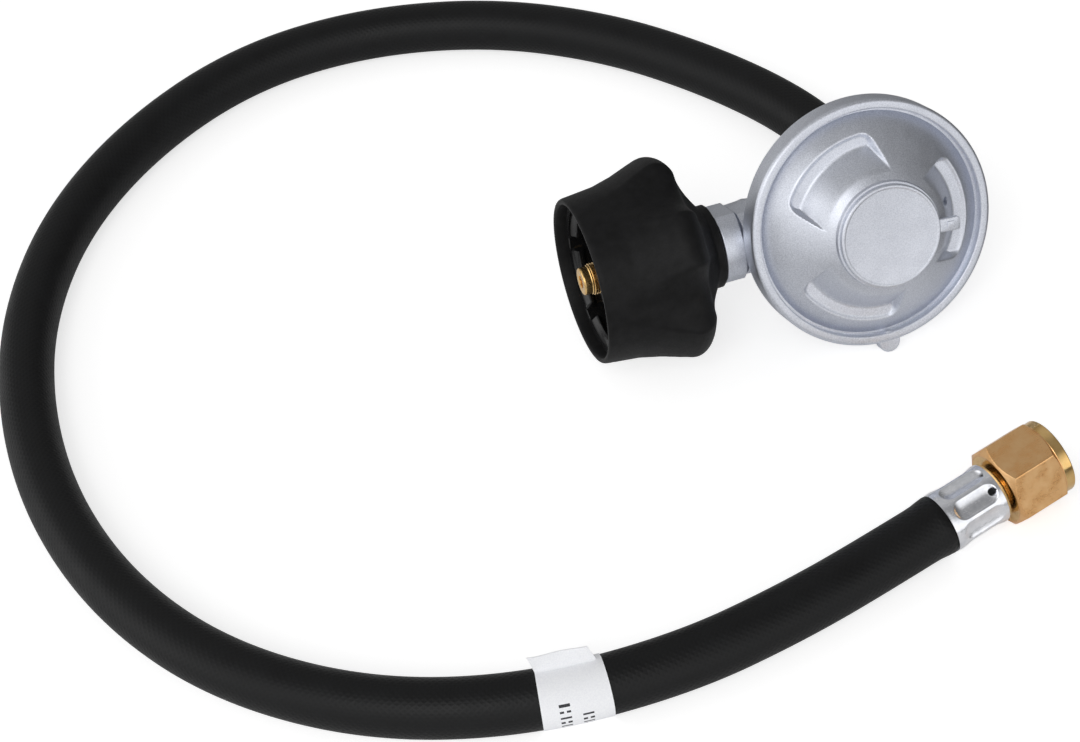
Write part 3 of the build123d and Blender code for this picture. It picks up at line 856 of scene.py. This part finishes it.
def make_swivel():
    near = np.concatenate([np.arange(-30, -26, 0.4), np.arange(-26, 26, 1.0), np.arange(26, 30, 0.4)])
    angles = np.sort(np.concatenate([SWIVEL_TURN + 30 + 60 * i + near for i in range(6)]) % 360)
    flats = hexagon(angles)
    rows = [(1.02, 8.7), (1.0, 9.0)]
    for along in np.arange(1.08, 2.6, 0.07):
        rows.append((along, smooth_min(flats, np.full_like(angles, 9.1 + (along - 1.0) * 1.45), 0.06)))
    for along in np.arange(2.7, 12.0, 0.8):
        rows.append((along, flats))
    for along in np.arange(12.1, 14.35, 0.07):
        rows.append((along, smooth_min(flats, np.full_like(angles, 9.40 + (14.25 - along) * 1.5), 0.06)))
    collar = len(rows)
    rows += outline((14.5, 9.32), (14.6, 9.30), (16.75, 9.30, 0.25), (17.0, 9.0, 0.2), (17.0, 8.2, 0.2),
                    (16.5, 7.7))
    for along in np.arange(16.4, 9.9, -0.11):
        rows.append((along, thread(along, angles, 1.411, 7.35, 7.9, 0.42)))
    rows += [(9.8, 7.9), (6.1, 7.9), (6.0, 7.9), (6.0, 4.96), (1.2, 4.96), (1.02, 5.2)]
    return turned_solid("swivel_hexagon", rows, FAR_END, "x", angles,
                        groups=lambda row: 1 if row >= collar else 0, crease=24)


swivel_nut = dress(make_swivel(), "swivel", "brass", MILLED_BRASS, COLLAR_BRASS)
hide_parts("swivel_nut")


# ---- paper label ----

LABEL_AT = Vector((-0.0907, -0.0981, 0.007))
LABEL_FROM, LABEL_TO = -6.6, 9.0     # ends of the band, along the hose from there
LABEL_WRAP = 157.0          # degrees that the band reaches each way from the top
FLAP_TO = 7.6
FLAP_ANGLE = 25.0
FLAP_HEIGHT = 4.2
FLAP_ROOT = 2.0             # degrees each side of the flap


def label_section():
    """Closed outline round the hose as (angle from the top, radius, height up the flap)."""
    out, within = HOSE_R + 0.2, HOSE_R + 0.04
    points = [(angle, out, 0) for angle in np.arange(-LABEL_WRAP, FLAP_ANGLE - FLAP_ROOT, 1.5)]
    points += [(FLAP_ANGLE - 1.1, out + 0.3, 0.3)]
    points += [(FLAP_ANGLE - 1.0 + 0.02 * h, out + h, h) for h in np.arange(0.6, FLAP_HEIGHT, 0.4)]
    tip = out + FLAP_HEIGHT - 0.1
    points += [(FLAP_ANGLE - 0.9, tip, FLAP_HEIGHT), (FLAP_ANGLE + 0.4, tip, FLAP_HEIGHT)]
    points += [(FLAP_ANGLE + 0.6, out + h, h) for h in np.arange(FLAP_HEIGHT - 0.5, 0.5, -0.4)]
    points += [(FLAP_ANGLE + 1.1, out + 0.3, 0.3)]
    points += [(angle, out, 0) for angle in np.arange(FLAP_ANGLE + FLAP_ROOT, LABEL_WRAP + 0.1, 1.5)]
    return points + [(angle, within, 0) for angle in np.arange(LABEL_WRAP, -LABEL_WRAP - 0.1, -2.0)]


def make_label(line):
    """Paper band that follows the hose, its ends pressed together in a leaning flap."""
    reach, _, ups, sides = frames_along(line)
    middle = reach[np.argmin(np.linalg.norm(line - np.array(LABEL_AT), axis=1))]
    section = label_section()
    alongs = np.arange(LABEL_FROM, LABEL_TO + 0.01, 0.3)
    vertices, faces, numbers = [], [], []
    for along in alongs:
        for angle, radius, rise in section:
            if rise and along > FLAP_TO:
                radius, rise = HOSE_R + 0.3, 0.0
            lean = 1.3 * rise / FLAP_HEIGHT
            at = middle + (along - lean) * MM
            centre = np.array([np.interp(at, reach, line[:, i]) for i in range(3)])
            up = np.array([np.interp(at, reach, ups[:, i]) for i in range(3)])
            side = np.array([np.interp(at, reach, sides[:, i]) for i in range(3)])
            bend = math.radians(angle + 1.6 * rise / FLAP_HEIGHT * math.sin(along * 0.5 + 1))
            point = centre + radius * MM * (math.cos(bend) * up + math.sin(bend) * side)
            vertices.append(point / MM)
    count = len(section)
    for i in range(len(alongs) - 1):
        for j in range(count):
            k = (j + 1) % count
            faces.append((i * count + j, i * count + k, (i + 1) * count + k, (i + 1) * count + j))
            numbers.append(int(printed((alongs[i] + alongs[i + 1]) / 2, section[j])))
    last = (len(alongs) - 1) * count
    faces += [tuple(range(count)), tuple(range(last, last + count))]
    return solid("label_wrap", vertices, faces, Matrix.Identity(4), numbers + [0, 0], 40)


PRINTED_COLUMNS = [(-2.7, -0.3, -133, -42), (2.2, 4.4, -133, -68)]     # along from and to, angle from and to


def printed(along, point):
    """Whether a plain printed bar covers this spot of the band; the bars stand in for lettering."""
    angle, radius, rise = point
    if rise or radius < HOSE_R + 0.1:
        return False
    for low, high, first, last in PRINTED_COLUMNS:
        if low < along < high and first < angle < last:
            part = (angle - first) / 13
            return part % 1 < 0.36 and not (int(part) % 2 and low + 0.9 < along < high - 0.9)
    return False


label = dress(make_label(hose_line), "regulator", "paper", PAPER, INK)
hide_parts("paper_label")


# ---- CAD pieces that stay ----

for entry in frame["record"]["subparts"]:
    node = frame["nodes"][entry["node"]]
    node.data.materials.clear()
    node.data.materials.append(SLOT_FINISH[entry["material_slot"]])


# ---- camera, floor and light ----

CAMERA_AT = Vector((-0.1608, -0.4152, 0.4680))
CAMERA_VIEW = Vector((0.1523, 0.6586, -0.7369))
CAMERA_RIGHT = Vector((0.9428, -0.3206, -0.0917))
CAMERA_LENS = 83.33

scene = bpy.context.scene
camera = bpy.data.objects.new("camera", bpy.data.cameras.new("camera"))
camera.data.lens = CAMERA_LENS
camera.data.sensor_width = 36.0
camera.data.clip_start, camera.data.clip_end = 0.01, 20.0
camera.matrix_world = placement(CAMERA_RIGHT, -CAMERA_VIEW, CAMERA_AT)
scene.collection.objects.link(camera)
scene.camera = camera
scene.view_settings.view_transform = "Standard"

FLOOR_SIZE = 3.0
FLOOR_ALBEDO = 0.62         # where the camera looks at it
FLOOR_GLOW = 0.66           # added there, so that the table photographs nearly white
FLOOR_PAINTED_LIGHT = 0.95           # painted light on the table, seen in the object's reflections: bright in front and on the left, with painted shade towards the right
FLOOR_PAINTED_SHADE = 0.22


def make_floor():
    """Pale table top; away from the camera's own view it carries painted shade, darkening towards the right."""
    mesh = bpy.data.meshes.new("floor")
    half = FLOOR_SIZE / 2
    corners = [(-half, -half, 0), (half, -half, 0), (half, half, 0), (-half, half, 0)]
    mesh.from_pydata(corners, [], [(0, 1, 2, 3)])
    floor = bpy.data.objects.new("floor", mesh)
    scene.collection.objects.link(floor)
    material = bpy.data.materials.new("floor")
    material.use_nodes = True
    nodes, links = material.node_tree.nodes, material.node_tree.links
    nodes.clear()
    place = nodes.new("ShaderNodeTexCoord")
    parts = nodes.new("ShaderNodeSeparateXYZ")
    # painted light and shade on the floor, seen only away from the camera's own view: bright on the left,
    # darkening towards the right
    shade = nodes.new("ShaderNodeMapRange")
    shade.interpolation_type = "SMOOTHSTEP"
    shade.inputs["From Min"].default_value = 0.03
    shade.inputs["From Max"].default_value = 0.11
    shade.inputs["To Min"].default_value = FLOOR_PAINTED_LIGHT
    shade.inputs["To Max"].default_value = FLOOR_PAINTED_SHADE
    reflected = nodes.new("ShaderNodeBsdfDiffuse")
    matte = nodes.new("ShaderNodeBsdfDiffuse")
    matte.inputs["Color"].default_value = (FLOOR_ALBEDO, FLOOR_ALBEDO, FLOOR_ALBEDO, 1)
    glow = nodes.new("ShaderNodeEmission")
    glow.inputs["Color"].default_value = (1, 1, 1, 1)
    glow.inputs["Strength"].default_value = FLOOR_GLOW
    looked_at = nodes.new("ShaderNodeAddShader")
    seen = nodes.new("ShaderNodeLightPath")
    choose = nodes.new("ShaderNodeMixShader")
    output = nodes.new("ShaderNodeOutputMaterial")
    links.new(place.outputs["Object"], parts.inputs["Vector"])
    links.new(parts.outputs["X"], shade.inputs["Value"])
    links.new(shade.outputs["Result"], reflected.inputs["Color"])
    links.new(matte.outputs[0], looked_at.inputs[0])
    links.new(glow.outputs[0], looked_at.inputs[1])
    links.new(seen.outputs["Is Camera Ray"], choose.inputs["Fac"])
    links.new(reflected.outputs[0], choose.inputs[1])
    links.new(looked_at.outputs[0], choose.inputs[2])
    links.new(choose.outputs[0], output.inputs["Surface"])
    mesh.materials.append(material)
    return floor


def softbox(name, at, towards, width, height, power):
    """Soft rectangular lamp aimed at a point."""
    data = bpy.data.lights.new(name, "AREA")
    data.shape = "RECTANGLE"
    data.size, data.size_y = width, height
    data.energy = power
    light = bpy.data.objects.new(name, data)
    light.location = at
    light.rotation_euler = (Vector(towards) - Vector(at)).to_track_quat("-Z", "Y").to_euler()
    scene.collection.objects.link(light)


# Broad soft areas of the studio: direction, brightness, and reach in degrees. The last is a shade.
STUDIO_LEVEL = 0.30
STUDIO_GLOWS = [
    ((0.30, -0.94, 0.15), 1.00, 50),
    ((-0.88, -0.45, 0.05), 0.50, 48),
    ((-0.93, 0.28, 0.25), 1.30, 42),
    ((-0.40, -0.60, 0.70), 0.35, 42),
    ((0.00, 0.62, 0.78), 0.20, 38),
    ((0.93, 0.10, -0.10), -0.18, 60),
]


def studio_world():
    """Soft surroundings, brighter in front and on the left, and white where the camera sees them."""
    world = bpy.data.worlds.new("studio")
    scene.world = world
    world.use_nodes = True
    nodes, links = world.node_tree.nodes, world.node_tree.links
    background = nodes["Background"]
    background.inputs["Color"].default_value = (1, 1, 1, 1)
    direction = nodes.new("ShaderNodeTexCoord").outputs["Generated"]
    level = None
    for towards, brightness, spread in STUDIO_GLOWS:
        facing = nodes.new("ShaderNodeVectorMath")
        facing.operation = "DOT_PRODUCT"
        facing.inputs[1].default_value = Vector(towards).normalized()
        links.new(direction, facing.inputs[0])
        glow = nodes.new("ShaderNodeMapRange")
        glow.interpolation_type = "SMOOTHSTEP"
        glow.inputs["From Min"].default_value = math.cos(math.radians(spread))
        glow.inputs["To Max"].default_value = brightness
        links.new(facing.outputs["Value"], glow.inputs["Value"])
        total = nodes.new("ShaderNodeMath")
        total.operation = "ADD"
        total.inputs[0].default_value = STUDIO_LEVEL
        if level is not None:
            links.new(level, total.inputs[0])
        links.new(glow.outputs["Result"], total.inputs[1])
        level = total.outputs[0]
    seen = nodes.new("ShaderNodeLightPath")
    choose = nodes.new("ShaderNodeMapRange")
    choose.inputs["To Max"].default_value = 1.0
    links.new(seen.outputs["Is Camera Ray"], choose.inputs["Value"])
    links.new(level, choose.inputs["To Min"])
    links.new(choose.outputs["Result"], background.inputs["Strength"])


make_floor()
studio_world()
softbox("key_panel", (-0.55, -0.75, 1.05), (0, 0, 0.02), 0.55, 0.55, 3.6)
